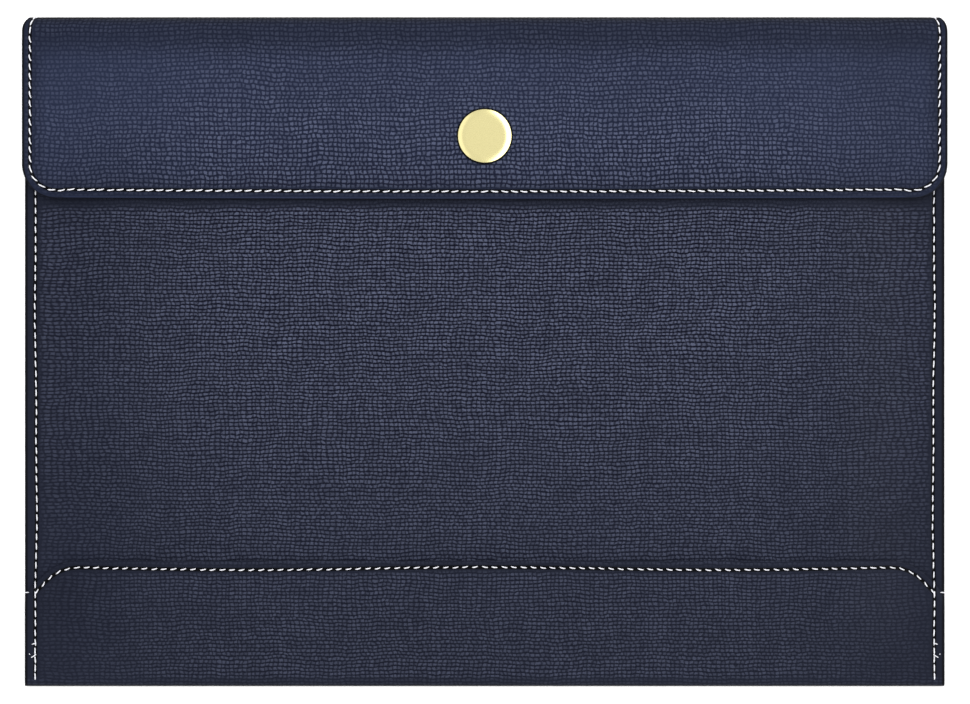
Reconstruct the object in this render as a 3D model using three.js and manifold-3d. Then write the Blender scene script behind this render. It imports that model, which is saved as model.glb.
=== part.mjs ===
// A4 document envelope of cross-grained leather, lying on its back with the flap snapped shut.
// Millimetres: +X to the right, +Y to the top fold, +Z out of the front, the table at Z = 0.
import * as THREE from "three";
import { mergeVertices } from "three/addons/utils/BufferGeometryUtils.js";
import Module from "manifold-3d";

// Leather
const SHEET = 1.6;
const LAYER_GAP = 0.2;

// Pouch
const POUCH_WIDTH = 330;
const POUCH_HEIGHT = 240;
const POUCH_RISE = 5;
const MOUTH_DROP = 14;
const SEAM_MARGIN = 8;
const SIDE_RAMP = 32;
const BOTTOM_MARGIN = 4;
const BOTTOM_RAMP = 30;

// Turned-up band across the bottom
const BAND_HEIGHT = 45.2;
const BAND_CORNER_RADIUS = 18.8;
const BAND_CORNER_RUN = 6.5;

// Flap
const FLAP_OVERHANG = 0.9;
const FLAP_DROP = 65;
const FLAP_CORNER_RADIUS = 12.4;
const FLAP_SIDE_DROOP = 3;
const FLAP_DROOP_WIDTH = 56;
const FLAP_EDGE_CURL = 1.2;
const FLAP_CURL_LENGTH = 12;
const FOLD_END_PINCH = 2.8;
const FOLD_PINCH_POWER = 5;

// Press stud
const SNAP_INSET = 22.3;
const CAP_DIAMETER = 19.2;
const CAP_HEIGHT = 2;
const CAP_RIM_RADIUS = 1.5;
const CAP_RIM_FOOT = 0.3;
const CAP_SHANK_DIAMETER = 4;
const SHANK_CLEARANCE = 0.2;
const SOCKET_DIAMETER = 12;
const SOCKET_HEIGHT = 1.8;
const SOCKET_WEB = 0.4;
const SOCKET_CHAMFER = 0.35;
const STUD_FLANGE_DIAMETER = 11;
const STUD_FLANGE_HEIGHT = 0.5;
const STUD_HEAD_DIAMETER = 5;
const STUD_NECK_DIAMETER = 4.2;
const STUD_EDGE = 0.2;
const SNAP_SIDE_CLEARANCE = 0.35;
const SNAP_FACE_CLEARANCE = 0.1;
const POST_FLANGE_DIAMETER = 10;
const POST_FLANGE_HEIGHT = 0.6;
const POST_SHANK_DIAMETER = 3.6;

// Sewing thread
const THREAD_WIDTH = 0.75;
const THREAD_HEIGHT = 0.55;
const THREAD_DIP = 0.35;
const THREAD_SLANT = 0.22;
const THREAD_CLEARANCE = 0.15;
const STITCH_PITCH = 3.65;
const STITCH_SHOULDER = 0.18;
const EDGE_STITCH_INSET = 2.7;
const SIDE_STITCH_INSET = 3.9;
const SIDE_STITCH_END = 2.4;

// Fineness of the curved surfaces
const RAMP_STEPS = 7;
const CORNER_STEPS = 5;
const FOLD_STEPS = 10;
const HEM_STEPS = 6;
const ROUND_STEPS = 28;
const RIM_STEPS = 4;
const COLUMN_SPACING = 1.2;

// Heights and edges that follow from the sizes above
const HALF_WIDTH = POUCH_WIDTH / 2;
const BOTTOM = -POUCH_HEIGHT / 2;
const TOP = POUCH_HEIGHT / 2;
const MOUTH = TOP - MOUTH_DROP;
const FRONT_SEAT = SHEET + LAYER_GAP;
const BAND_SEAT = FRONT_SEAT + SHEET + LAYER_GAP;
const HEM_RADIUS = (BAND_SEAT + SHEET) / 2;
const HEM_LINE = BOTTOM + HEM_RADIUS;
const BAND_TOP = BOTTOM + BAND_HEIGHT;
const FRONT_FACE = FRONT_SEAT + POUCH_RISE + SHEET;
const SNAP_STACK = STUD_FLANGE_HEIGHT + SNAP_FACE_CLEARANCE + SOCKET_HEIGHT;
const FLAP_SEAT = FRONT_FACE + SNAP_STACK;
const FLAP_FACE = FLAP_SEAT + SHEET;
const FOLD_RADIUS = FLAP_FACE / 2;
const FOLD_LINE = TOP - FOLD_RADIUS;
const FLAP_HALF_WIDTH = HALF_WIDTH + FLAP_OVERHANG;
const FLAP_EDGE = TOP - FLAP_DROP;
const SNAP_Y = FLAP_EDGE + SNAP_INSET;
const STUD_HEAD_HEIGHT = SOCKET_HEIGHT - SOCKET_WEB;

// The round corner of the band turns half way, then runs straight at 45 degrees to the side.
const DIAGONAL = Math.SQRT1_2;
const BAND_CORNER_Y = BAND_TOP - BAND_CORNER_RADIUS;
const BAND_CORNER_END = HALF_WIDTH - BAND_CORNER_RUN;
const BAND_CORNER_X = BAND_CORNER_END - BAND_CORNER_RADIUS * DIAGONAL;

const { smoothstep, lerp } = THREE.MathUtils;

// How far the front stands off the back: nothing along the seams, full over the middle.
function pouchRise(x, y) {
  const fromSide = HALF_WIDTH - Math.abs(x);
  const fromBottom = y - BOTTOM;
  const acrossSide = smoothstep(fromSide, SEAM_MARGIN, SEAM_MARGIN + SIDE_RAMP);
  const upFromHem = smoothstep(fromBottom, BOTTOM_MARGIN, BOTTOM_MARGIN + BOTTOM_RAMP);
  return POUCH_RISE * acrossSide * upFromHem;
}

function frontFace(x, y) {
  return FRONT_SEAT + pouchRise(x, y) + SHEET;
}

function bandFace(x, y) {
  return BAND_SEAT + pouchRise(x, y) + SHEET;
}

function bandEdge(x) {
  const past = Math.abs(x) - BAND_CORNER_X;
  if (past <= 0) return BAND_TOP;
  const reach = BAND_CORNER_RADIUS * DIAGONAL;
  if (past >= reach) return BAND_CORNER_Y + reach - (past - reach);
  return BAND_CORNER_Y + Math.sqrt(BAND_CORNER_RADIUS ** 2 - past ** 2);
}

function flapEdge(x) {
  const past = Math.abs(x) - (FLAP_HALF_WIDTH - FLAP_CORNER_RADIUS);
  if (past <= 0) return FLAP_EDGE;
  const inside = Math.min(past, FLAP_CORNER_RADIUS);
  return FLAP_EDGE + FLAP_CORNER_RADIUS - Math.sqrt(FLAP_CORNER_RADIUS ** 2 - inside ** 2);
}

function flapDroop(x) {
  const droopStart = FLAP_HALF_WIDTH - FLAP_DROOP_WIDTH;
  return FLAP_SIDE_DROOP * smoothstep(Math.abs(x), droopStart, FLAP_HALF_WIDTH);
}

function flapFace(x, y) {
  const curl = 1 - smoothstep(y, FLAP_EDGE, FLAP_EDGE + FLAP_CURL_LENGTH);
  return FLAP_FACE - flapDroop(x) - FLAP_EDGE_CURL * curl;
}

function spread(from, to, steps) {
  return Array.from({ length: steps + 1 }, (_, i) => lerp(from, to, i / steps));
}

// Grid columns on both sides of the middle, in order, with crowded ones dropped.
function mirroredColumns(edge, places) {
  const inner = places.filter((x) => x > 0 && x < edge - COLUMN_SPACING / 2);
  inner.sort((a, b) => a - b);
  const kept = [];
  for (const x of inner) {
    if (!kept.length || x - kept.at(-1) > COLUMN_SPACING) kept.push(x);
  }
  kept.push(edge);
  return [...kept.map((x) => -x).reverse(), ...kept];
}

function cornerColumns(centre, radius, turn) {
  return spread(0, turn, CORNER_STEPS).map((angle) => centre + radius * Math.sin(angle));
}

const pouchColumns = mirroredColumns(HALF_WIDTH, [
  ...spread(HALF_WIDTH - SEAM_MARGIN - SIDE_RAMP, HALF_WIDTH - SEAM_MARGIN, RAMP_STEPS),
  ...cornerColumns(BAND_CORNER_X, BAND_CORNER_RADIUS, Math.PI / 4),
]);

const flapColumns = mirroredColumns(FLAP_HALF_WIDTH, [
  ...spread(FLAP_HALF_WIDTH - FLAP_DROOP_WIDTH, FLAP_HALF_WIDTH, RAMP_STEPS),
  ...cornerColumns(FLAP_HALF_WIDTH - FLAP_CORNER_RADIUS, FLAP_CORNER_RADIUS, Math.PI / 2),
]);

// A sheet of leather on a grid: place(column, row, outer) gives each corner of the grid on its
// inner face (outer 0) and its outer face (outer 1).
function sheet(columns, rows, place) {
  const acrossSteps = columns.length - 1;
  const alongSteps = rows.length - 1;
  const geometry = new THREE.BoxGeometry(1, 1, 1, acrossSteps, alongSteps, 1);
  const position = geometry.getAttribute("position");
  for (let i = 0; i < position.count; i += 1) {
    const column = columns[Math.round((position.getX(i) + 0.5) * acrossSteps)];
    const row = rows[Math.round((position.getY(i) + 0.5) * alongSteps)];
    const outer = position.getZ(i) > 0 ? 1 : 0;
    position.setXYZ(i, ...place(column, row, outer));
  }
  return welded(geometry);
}

function welded(geometry) {
  geometry.deleteAttribute("normal");
  geometry.deleteAttribute("uv");
  const closed = mergeVertices(geometry, 1e-4);
  closed.computeVertexNormals();
  return closed;
}

// Back: flat from the top fold to the hem, round the hem, and up the front as the band.
function backPoint(x, row, outer) {
  if (row.part === "back") return [x, row.y, outer ? 0 : SHEET];
  if (row.part === "hem") {
    const radius = outer ? HEM_RADIUS : HEM_RADIUS - SHEET;
    const y = HEM_LINE - radius * Math.cos(row.angle);
    return [x, y, HEM_RADIUS + radius * Math.sin(row.angle)];
  }
  const y = lerp(HEM_LINE, bandEdge(x), row.share);
  return [x, y, bandFace(x, y) - (outer ? 0 : SHEET)];
}

const hemAngles = spread(-Math.PI / 2, Math.PI / 2, HEM_STEPS);
const bandShares = spread(0, 1, RAMP_STEPS + 2).slice(1);
const backRows = [
  { part: "back", y: FOLD_LINE },
  ...hemAngles.map((angle) => ({ part: "hem", angle })),
  ...bandShares.map((share) => ({ part: "band", share })),
];
const backPanel = sheet(pouchColumns, backRows, backPoint);

// Front: tucked into the hem at the bottom, open at the mouth.
function frontPoint(x, y, outer) {
  return [x, y, frontFace(x, y) - (outer ? 0 : SHEET)];
}

const frontRows = [
  HEM_LINE + LAYER_GAP,
  ...spread(BOTTOM + BOTTOM_MARGIN, BOTTOM + BOTTOM_MARGIN + BOTTOM_RAMP, RAMP_STEPS),
  MOUTH,
];
const frontSheet = sheet(pouchColumns, frontRows, frontPoint);

// Top fold: half a turn from the back to the flap, lower and narrower at its ends.
function foldPoint(x, angle, outer) {
  const rise = (FLAP_FACE - flapDroop(x)) / 2;
  const inset = outer ? 0 : SHEET;
  const bend = Math.cos(angle);
  const climb = (Math.sin(angle) + 1) / 2;
  const overhang = lerp(0, FLAP_OVERHANG, climb);
  const halfWidth = HALF_WIDTH + overhang - FOLD_END_PINCH * bend ** FOLD_PINCH_POWER;
  const y = FOLD_LINE + (FOLD_RADIUS - inset) * bend;
  return [(x / FLAP_HALF_WIDTH) * halfWidth, y, rise + (rise - inset) * Math.sin(angle)];
}

const foldAngles = spread(Math.PI / 2, -Math.PI / 2, FOLD_STEPS);
const topFold = sheet(flapColumns, foldAngles, foldPoint);

// Flap: each column runs from the fold to the free edge with its round corners.
function flapPoint(x, share, outer) {
  const y = lerp(FOLD_LINE, flapEdge(x), share);
  return [x, y, flapFace(x, y) - (outer ? 0 : SHEET)];
}

const curlStart = 1 - FLAP_CURL_LENGTH / (FOLD_LINE - FLAP_EDGE);
const flapShares = [...spread(1, curlStart, 4), curlStart / 2, 0];
const flapSheet = sheet(flapColumns, flapShares, flapPoint);

// Holes are cut with manifold-3d.
const wasm = await Module();
wasm.setup();

function toSolid(geometry) {
  const merged = mergeVertices(geometry, 1e-4);
  const mesh = new wasm.Mesh({
    numProp: 3,
    vertProperties: Float32Array.from(merged.getAttribute("position").array),
    triVerts: Uint32Array.from(merged.index.array),
  });
  return new wasm.Manifold(mesh);
}

function fromSolid(solid) {
  const mesh = solid.getMesh();
  const geometry = new THREE.BufferGeometry();
  geometry.setAttribute("position", new THREE.BufferAttribute(mesh.vertProperties, 3));
  geometry.setIndex(new THREE.BufferAttribute(mesh.triVerts, 1));
  geometry.computeVertexNormals();
  return geometry;
}

function punched(geometry, diameter) {
  const depth = FLAP_FACE + CAP_HEIGHT;
  const punch = wasm.Manifold.cylinder(depth, diameter / 2, diameter / 2, ROUND_STEPS);
  const placed = punch.translate([0, SNAP_Y, 0]);
  return fromSolid(toSolid(geometry).subtract(placed));
}

const frontPanel = punched(frontSheet, POST_SHANK_DIAMETER + 2 * SHANK_CLEARANCE);
const flap = punched(flapSheet, CAP_SHANK_DIAMETER + 2 * SHANK_CLEARANCE);

// Turned pieces: a profile of [radius, height] pairs revolved about +Z.
function turned(profile) {
  const points = profile.map(([radius, height]) => new THREE.Vector2(radius, height));
  return welded(new THREE.LatheGeometry(points, ROUND_STEPS).rotateX(Math.PI / 2));
}

function roundedRim(radius, height, rim) {
  return spread(0, Math.PI / 2, RIM_STEPS).map((angle) => [
    radius - rim + rim * Math.cos(angle),
    height - rim + rim * Math.sin(angle),
  ]);
}

const capRadius = CAP_DIAMETER / 2;
const snapCap = turned([
  [0, -SHEET],
  [CAP_SHANK_DIAMETER / 2, -SHEET],
  [CAP_SHANK_DIAMETER / 2, 0],
  [capRadius - CAP_RIM_FOOT, 0],
  ...roundedRim(capRadius, CAP_HEIGHT, CAP_RIM_RADIUS),
  [0, CAP_HEIGHT],
]);

const socketRadius = SOCKET_DIAMETER / 2;
const cavityRadius = STUD_HEAD_DIAMETER / 2 + SNAP_SIDE_CLEARANCE;
const snapSocket = turned([
  [0, -SOCKET_WEB],
  [cavityRadius, -SOCKET_WEB],
  [cavityRadius, SOCKET_CHAMFER - SOCKET_HEIGHT],
  [cavityRadius + SOCKET_CHAMFER, -SOCKET_HEIGHT],
  [socketRadius - SOCKET_CHAMFER, -SOCKET_HEIGHT],
  [socketRadius, SOCKET_CHAMFER - SOCKET_HEIGHT],
  [socketRadius, 0],
  [0, 0],
]);

const studTop = STUD_FLANGE_HEIGHT + STUD_HEAD_HEIGHT;
const neckRise = STUD_HEAD_HEIGHT / 4;
const snapStud = turned([
  [0, 0],
  [STUD_FLANGE_DIAMETER / 2, 0],
  [STUD_FLANGE_DIAMETER / 2, STUD_FLANGE_HEIGHT - STUD_EDGE],
  [STUD_FLANGE_DIAMETER / 2 - STUD_EDGE, STUD_FLANGE_HEIGHT],
  [STUD_NECK_DIAMETER / 2, STUD_FLANGE_HEIGHT],
  [STUD_NECK_DIAMETER / 2, STUD_FLANGE_HEIGHT + neckRise],
  [STUD_HEAD_DIAMETER / 2, STUD_FLANGE_HEIGHT + 2 * neckRise],
  [STUD_HEAD_DIAMETER / 2, STUD_FLANGE_HEIGHT + 3 * neckRise],
  [STUD_HEAD_DIAMETER / 2 - neckRise, studTop],
  [0, studTop],
]);

const snapPost = turned([
  [0, -POST_FLANGE_HEIGHT],
  [POST_FLANGE_DIAMETER / 2, -POST_FLANGE_HEIGHT],
  [POST_FLANGE_DIAMETER / 2, 0],
  [POST_SHANK_DIAMETER / 2, 0],
  [POST_SHANK_DIAMETER / 2, SHEET],
  [0, SHEET],
]);

// A sewn run is one thread: each leg is a flat path, the number of its stitches follows from its
// length, and the thread narrows to a dip between stitches, where it goes down into the leather.
function stitchStations(path, faceHeight) {
  const stitches = Math.max(1, Math.round(path.getLength() / STITCH_PITCH));
  const marks = [
    { share: 0, size: THREAD_DIP, aside: 0 },
    { share: STITCH_SHOULDER, size: 1, aside: -THREAD_SLANT },
    { share: 1 - STITCH_SHOULDER, size: 1, aside: THREAD_SLANT },
  ];
  const stations = [];
  for (let stitch = 0; stitch < stitches; stitch += 1) {
    for (const mark of marks) {
      const along = (stitch + mark.share) / stitches;
      const spot = path.getPoint(along);
      const ahead = path.getTangent(along);
      const side = new THREE.Vector3(ahead.y, -ahead.x, 0);
      const height = faceHeight(spot.x, spot.y) + THREAD_CLEARANCE;
      const centre = new THREE.Vector3(spot.x, spot.y, height);
      centre.addScaledVector(side, mark.aside);
      stations.push({ centre, side, size: mark.size });
    }
  }
  return stations;
}

function lastStation(path, faceHeight) {
  const spot = path.getPoint(1);
  const ahead = path.getTangent(1);
  const height = faceHeight(spot.x, spot.y) + THREAD_CLEARANCE;
  return {
    centre: new THREE.Vector3(spot.x, spot.y, height),
    side: new THREE.Vector3(ahead.y, -ahead.x, 0),
    size: THREAD_DIP,
  };
}

const THREAD_SIDES = 3;
const BASE_SHARE = 0.5;

// A three-sided bar along the stations, flat side down.
function thread(legs) {
  const stations = legs.flatMap(([path, faceHeight]) => stitchStations(path, faceHeight));
  stations.push(lastStation(...legs.at(-1)));
  const steps = stations.length - 1;
  const geometry = new THREE.CylinderGeometry(1, 1, 1, THREAD_SIDES, steps);
  const position = geometry.getAttribute("position");
  const halfWidth = THREAD_WIDTH / (2 * Math.sin(Math.PI / THREAD_SIDES));
  const rise = THREAD_HEIGHT / (1 + BASE_SHARE);
  for (let i = 0; i < position.count; i += 1) {
    const { centre, side, size } = stations[Math.round((position.getY(i) + 0.5) * steps)];
    const aside = position.getX(i) * halfWidth * size;
    const up = (position.getZ(i) + BASE_SHARE) * rise * size;
    const point = centre.clone().addScaledVector(side, aside);
    position.setXYZ(i, point.x, point.y, point.z + up);
  }
  return welded(geometry);
}

// Flap seam: down one side, round the corner, along the free edge and up the other side.
const flapSeamX = FLAP_HALF_WIDTH - EDGE_STITCH_INSET;
const flapSeamRadius = FLAP_CORNER_RADIUS - EDGE_STITCH_INSET;
const flapSeamCornerX = FLAP_HALF_WIDTH - FLAP_CORNER_RADIUS;
const flapSeamCornerY = FLAP_EDGE + FLAP_CORNER_RADIUS;
const flapSeamStart = FOLD_LINE - THREAD_CLEARANCE;
const flapSeam = new THREE.Path();
flapSeam.moveTo(-flapSeamX, flapSeamStart);
flapSeam.lineTo(-flapSeamX, flapSeamCornerY);
flapSeam.absarc(-flapSeamCornerX, flapSeamCornerY, flapSeamRadius, Math.PI, 1.5 * Math.PI, false);
flapSeam.lineTo(flapSeamCornerX, FLAP_EDGE + EDGE_STITCH_INSET);
flapSeam.absarc(flapSeamCornerX, flapSeamCornerY, flapSeamRadius, 1.5 * Math.PI, 2 * Math.PI, false);
flapSeam.lineTo(flapSeamX, flapSeamStart);
const flapStitching = thread([[flapSeam, flapFace]]);

// Band seam: up the slanted corner, along the top of the band and down the other corner.
const bandSeamRadius = BAND_CORNER_RADIUS - EDGE_STITCH_INSET;
const bandSeamTurnX = BAND_CORNER_X + bandSeamRadius * DIAGONAL;
const bandSeamTurnY = BAND_CORNER_Y + bandSeamRadius * DIAGONAL;
const bandSeamEndX = HALF_WIDTH - SIDE_STITCH_INSET - THREAD_WIDTH - THREAD_SLANT;
const bandSeamEndY = bandSeamTurnY - (bandSeamEndX - bandSeamTurnX);
const bandSeam = new THREE.Path();
bandSeam.moveTo(-bandSeamEndX, bandSeamEndY);
bandSeam.lineTo(-bandSeamTurnX, bandSeamTurnY);
bandSeam.absarc(-BAND_CORNER_X, BAND_CORNER_Y, bandSeamRadius, 0.75 * Math.PI, 0.5 * Math.PI, true);
bandSeam.lineTo(BAND_CORNER_X, BAND_TOP - EDGE_STITCH_INSET);
bandSeam.absarc(BAND_CORNER_X, BAND_CORNER_Y, bandSeamRadius, 0.5 * Math.PI, 0.25 * Math.PI, true);
bandSeam.lineTo(bandSeamEndX, bandSeamEndY);
const bandStitching = thread([[bandSeam, bandFace]]);

// Side seams: up the band, down its step onto the front panel, and on to the mouth.
function sideStitching(sign) {
  const x = sign * (HALF_WIDTH - SIDE_STITCH_INSET);
  const step = bandEdge(x) + THREAD_WIDTH;
  const onBand = new THREE.Path();
  onBand.moveTo(x, BOTTOM + SIDE_STITCH_END);
  onBand.lineTo(x, step);
  const onFront = new THREE.Path();
  onFront.moveTo(x, step);
  onFront.lineTo(x, MOUTH - SIDE_STITCH_END);
  const stepDown = (px, py) => (py <= step ? bandFace(px, py) : frontFace(px, py));
  return thread([[onBand, bandFace], [onFront, stepDown]]);
}

function leather() {
  return new THREE.MeshStandardMaterial({ color: 0x373d4f, roughness: 0.62, metalness: 0 });
}

function whiteThread() {
  return new THREE.MeshStandardMaterial({ color: 0xf2f2f5, roughness: 0.7, metalness: 0 });
}

function paleBrass() {
  return new THREE.MeshStandardMaterial({ color: 0xe6dda2, roughness: 0.28, metalness: 1 });
}

const envelope = new THREE.Group();

function add(name, geometry, material, z = 0, parent = envelope) {
  const mesh = new THREE.Mesh(geometry, material);
  mesh.name = name;
  mesh.position.z = z;
  parent.add(mesh);
  return mesh;
}

add("back_panel", backPanel, leather());
add("front_panel", frontPanel, leather());
add("top_fold", topFold, leather());
add("flap", flap, leather());

const snap = new THREE.Group();
snap.position.y = SNAP_Y;
envelope.add(snap);
add("snap_cap", snapCap, paleBrass(), FLAP_FACE, snap);
add("snap_socket", snapSocket, paleBrass(), FLAP_SEAT, snap);
add("snap_stud", snapStud, paleBrass(), FRONT_FACE, snap);
add("snap_post", snapPost, paleBrass(), FRONT_FACE - SHEET, snap);

add("flap_stitching", flapStitching, whiteThread());
add("band_stitching", bandStitching, whiteThread());
add("left_side_stitching", sideStitching(-1), whiteThread());
add("right_side_stitching", sideStitching(1), whiteThread());

export default envelope;
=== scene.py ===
"""A4 leather document envelope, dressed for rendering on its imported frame.

Lengths are in millimetres until a mesh is made.
"""

import math

import bmesh
import bpy
import numpy as np
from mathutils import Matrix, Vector, geometry


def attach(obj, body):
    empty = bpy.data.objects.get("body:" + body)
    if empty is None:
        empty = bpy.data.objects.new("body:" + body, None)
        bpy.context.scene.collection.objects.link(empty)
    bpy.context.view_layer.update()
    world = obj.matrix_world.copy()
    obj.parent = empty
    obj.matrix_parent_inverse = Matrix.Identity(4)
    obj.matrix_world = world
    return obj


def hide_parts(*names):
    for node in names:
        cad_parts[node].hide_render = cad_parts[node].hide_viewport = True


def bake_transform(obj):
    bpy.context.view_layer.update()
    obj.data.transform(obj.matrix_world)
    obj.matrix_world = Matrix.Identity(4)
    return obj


MM = 0.001
rng = np.random.default_rng(7)


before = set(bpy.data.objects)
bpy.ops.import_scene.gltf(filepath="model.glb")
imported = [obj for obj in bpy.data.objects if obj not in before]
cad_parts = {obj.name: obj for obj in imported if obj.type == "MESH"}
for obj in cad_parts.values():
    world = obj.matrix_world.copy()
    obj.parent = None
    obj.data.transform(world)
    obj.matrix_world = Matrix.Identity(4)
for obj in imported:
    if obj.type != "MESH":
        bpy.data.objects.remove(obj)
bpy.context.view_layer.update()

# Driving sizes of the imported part
POUCH_WIDTH = 330.0
POUCH_HEIGHT = 240.0
SHEET = 1.6
LAYER_GAP = 0.2
POUCH_RISE = 5.0
SEAM_MARGIN = 8.0
SIDE_RAMP = 32.0
BOTTOM_MARGIN = 4.0
BOTTOM_RAMP = 30.0
MOUTH_DROP = 14.0
BAND_HEIGHT = 45.2
BAND_CORNER_RADIUS = 18.8
BAND_CORNER_RUN = 6.5
FLAP_OVERHANG = 0.9
FLAP_DROP = 65.0
FLAP_CORNER_RADIUS = 12.4
FLAP_SIDE_DROOP = 3.0
FLAP_DROOP_WIDTH = 56.0
FLAP_EDGE_CURL = 1.2
FLAP_CURL_LENGTH = 12.0
SNAP_INSET = 22.3
SNAP_STACK = 2.4
CAP_RADIUS = 9.6

# The fold's ends draw in a little less and more softly than in the part.
FOLD_END_PINCH = 2.0
FOLD_PINCH_POWER = 3.5

# Places that follow from the sizes
HALF_WIDTH = POUCH_WIDTH / 2
TOP = POUCH_HEIGHT / 2
BOTTOM = -POUCH_HEIGHT / 2
MOUTH = TOP - MOUTH_DROP
BAND_TOP = BOTTOM + BAND_HEIGHT
FLAP_HALF_WIDTH = HALF_WIDTH + FLAP_OVERHANG
FLAP_EDGE = TOP - FLAP_DROP
FLAP_CORNER_Y = FLAP_EDGE + FLAP_CORNER_RADIUS
SNAP_Y = FLAP_EDGE + SNAP_INSET
FRONT_SEAT = SHEET + LAYER_GAP
BAND_SEAT = FRONT_SEAT + SHEET + LAYER_GAP
HEM_RADIUS = (BAND_SEAT + SHEET) / 2
HEM_LINE = BOTTOM + HEM_RADIUS
FRONT_FACE = FRONT_SEAT + POUCH_RISE + SHEET
FLAP_SEAT = FRONT_FACE + SNAP_STACK
FLAP_FACE = FLAP_SEAT + SHEET
FOLD_RADIUS = FLAP_FACE / 2
FOLD_LINE = TOP - FOLD_RADIUS

# Seams and edges
SIDE_SEAM_INSET = 3.9
EDGE_SEAM_INSET = 2.9
BAND_SEAM_INSET = 2.4
FOLD_SEAM_INSET = 2.3
SEAM_DEPTH = 0.24
SEAM_WIDTH = 0.6
EDGE_ROUND = 0.45
FAR = 60.0


def smoothstep(value, start, end):
    t = np.clip((value - start) / (end - start), 0, 1)
    return t * t * (3 - 2 * t)


# Slow waves in the leather: rates are in radians per mm, a fade goes from none to full
RIPPLE_HEIGHT = 0.16
WAVE_RATE = 0.031
WAVE_PHASE = 0.7
WAVE_BEND = 1.3
WAVE_BEND_RATE = 0.021
CROSS_RATE = 0.043
CROSS_BEND = 0.9
CROSS_BEND_RATE = 0.017
EDGE_FADE = (6, 40)
UNDER_FLAP_FADE = (40, 60)
FOLD_FADE = (2, 20)
CAP_CALM_RADIUS = 26.0
FLAP_RIPPLE_SHIFT = 90


def ripple(x, y):
    """The slight unevenness of soft leather that has been handled, with none at the sides."""
    wave = np.sin(WAVE_RATE * x + WAVE_BEND * np.sin(WAVE_BEND_RATE * y) + WAVE_PHASE)
    cross = np.cos(CROSS_RATE * y + CROSS_BEND * np.sin(CROSS_BEND_RATE * x))
    return RIPPLE_HEIGHT * wave * cross * smoothstep(HALF_WIDTH - np.abs(x), *EDGE_FADE)


# Heights of the leather's outer faces: the part's, with the ripple on them


def pouch_rise(x, y):
    across = smoothstep(HALF_WIDTH - np.abs(x), SEAM_MARGIN, SEAM_MARGIN + SIDE_RAMP)
    up = smoothstep(y - BOTTOM, BOTTOM_MARGIN, BOTTOM_MARGIN + BOTTOM_RAMP)
    return POUCH_RISE * across * up


def front_face(x, y):
    ends = smoothstep(y - BOTTOM, *EDGE_FADE) * (1 - smoothstep(y, *UNDER_FLAP_FADE))
    return FRONT_SEAT + pouch_rise(x, y) + SHEET + ripple(x, y) * ends


def band_face(x, y):
    ends = smoothstep(y - BOTTOM, *EDGE_FADE)
    return BAND_SEAT + pouch_rise(x, y) + SHEET + ripple(x, y) * ends


def band_edge(x):
    """The top of the band: straight, round a corner for an eighth of a turn, then at 45 degrees."""
    reach = BAND_CORNER_RADIUS * math.sqrt(0.5)
    corner_x = HALF_WIDTH - BAND_CORNER_RUN - reach
    corner_y = BAND_TOP - BAND_CORNER_RADIUS
    past = np.abs(x) - corner_x
    arc = corner_y + np.sqrt(np.maximum(BAND_CORNER_RADIUS**2 - np.clip(past, 0, reach) ** 2, 0))
    return arc - np.maximum(past - reach, 0)


SKIVE_DEPTH = 1.25
SKIVE_FADE = (161.9, 163.4)
SKIVE_LENGTH = 3.2


def skive(x, under):
    """Outside the side seams the band's edge is pared thin; under is the distance below that edge."""
    return SKIVE_DEPTH * smoothstep(np.abs(x), *SKIVE_FADE) * (1 - smoothstep(under, 0, SKIVE_LENGTH))


def flap_droop(x):
    droop_start = FLAP_HALF_WIDTH - FLAP_DROOP_WIDTH
    return FLAP_SIDE_DROOP * smoothstep(np.abs(x), droop_start, FLAP_HALF_WIDTH)


def flap_face(x, y):
    curl = 1 - smoothstep(y, FLAP_EDGE, FLAP_EDGE + FLAP_CURL_LENGTH)
    away = 1 - np.exp(-(x**2 + (y - SNAP_Y) ** 2) / CAP_CALM_RADIUS**2)
    ends = smoothstep(FOLD_LINE - y, *FOLD_FADE)
    waves = ripple(x + FLAP_RIPPLE_SHIFT, y) * away * ends
    return FLAP_FACE - flap_droop(x) - FLAP_EDGE_CURL * curl + waves


def flap_edge_distance(x, y):
    side = FLAP_HALF_WIDTH - np.abs(x)
    bottom = y - FLAP_EDGE
    dx = np.maximum(FLAP_CORNER_RADIUS - side, 0)
    dy = np.maximum(FLAP_CORNER_RADIUS - bottom, 0)
    corner = FLAP_CORNER_RADIUS - np.hypot(dx, dy)
    return np.where((dx > 0) & (dy > 0), corner, np.minimum(side, bottom))


def fold_half_width(angle):
    """Half the fold's width, from the back (-pi / 2) round to the flap (pi / 2)."""
    climb = (np.sin(angle) + 1) / 2
    pinch = FOLD_END_PINCH * np.abs(np.cos(angle)) ** FOLD_PINCH_POWER
    return HALF_WIDTH + (FLAP_HALF_WIDTH - HALF_WIDTH) * climb - pinch


def edge_drop(distance):
    """How far a face rounds off at this distance from the edge of its sheet."""
    inside = np.clip(distance / EDGE_ROUND, 0, 1)
    return EDGE_ROUND * (1 - np.sqrt(1 - (1 - inside) ** 2))


def seam_dip(distance):
    return SEAM_DEPTH * np.exp(-((distance / SEAM_WIDTH) ** 2))


# Where the seams run: hand-guided, so they wander and bow a little
SEAM_WANDER = 0.28
WANDER_RATE = 0.045
WANDER_PHASE = 0.6
SEAM_JITTER = 0.12
JITTER_RATE = 0.13
BAND_SEAM_SAG = 1.0
BAND_SAG_SPAN = 168
FLAP_SEAM_BOW = 0.3
FLAP_SAG = 0.45
BOW_REACH = 150


def side_seam_x(y):
    wander = SEAM_WANDER * np.sin(WANDER_RATE * y + WANDER_PHASE)
    return HALF_WIDTH - SIDE_SEAM_INSET + wander + SEAM_JITTER * np.sin(JITTER_RATE * y)


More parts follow.
